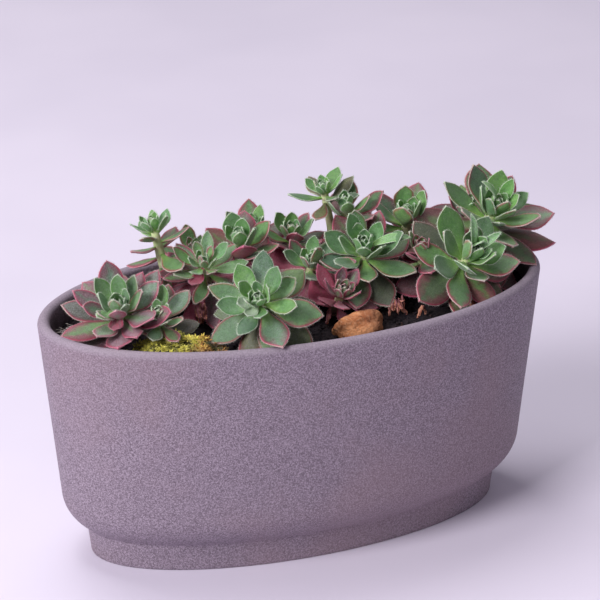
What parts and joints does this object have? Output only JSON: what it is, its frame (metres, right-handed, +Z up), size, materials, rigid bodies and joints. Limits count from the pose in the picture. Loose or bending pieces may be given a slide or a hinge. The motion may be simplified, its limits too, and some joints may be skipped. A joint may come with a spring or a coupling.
{
  "type": "potted aeonium",
  "caption": "Long oval stoneware planter on a stepped foot, filled with downy succulent rosettes, tall leafy shoots, moss and a pebble.",
  "frame": {"origin": "centre of the flat underside of the pot's foot", "axes": "+Z up, +X along the long axis of the oval, -Y towards the side seen in the picture"},
  "size_m": [0.3138, 0.152, 0.2018],
  "materials": {
    "pot": "matte speckled mauve-grey stoneware glaze",
    "soil": "loose damp potting soil, near wood in density",
    "stone": "rough tan pebble",
    "moss": "dry yellow-green moss",
    "leaf": "fleshy downy leaf, green with maroon margin",
    "pale_leaf": "fleshy downy leaf and pale stem, light green"
  },
  "bodies": {
    "root": {"pot": "pot", "soil": "soil", "stone": "stone", "moss": "moss", "rosette_front": "leaf", "rosette_left": "leaf", "rosette_front_right": "leaf", "rosette_right": "leaf", "rosette_middle_right": "leaf", "rosette_middle": "leaf", "rosette_middle_left": "leaf", "rosette_back_left": "leaf", "rosette_back_right": "leaf", "rosette_rear_left": "leaf", "tall_stem_left": "pale_leaf", "tall_stem_back": "pale_leaf", "low_stem_back": "leaf", "sprig_left": "leaf", "sprig_back": "leaf", "sprig_rear_left": "leaf", "sprig_right": "leaf", "sprig_middle": "leaf", "sprig_front": "leaf"}
  },
  "joints": []
}
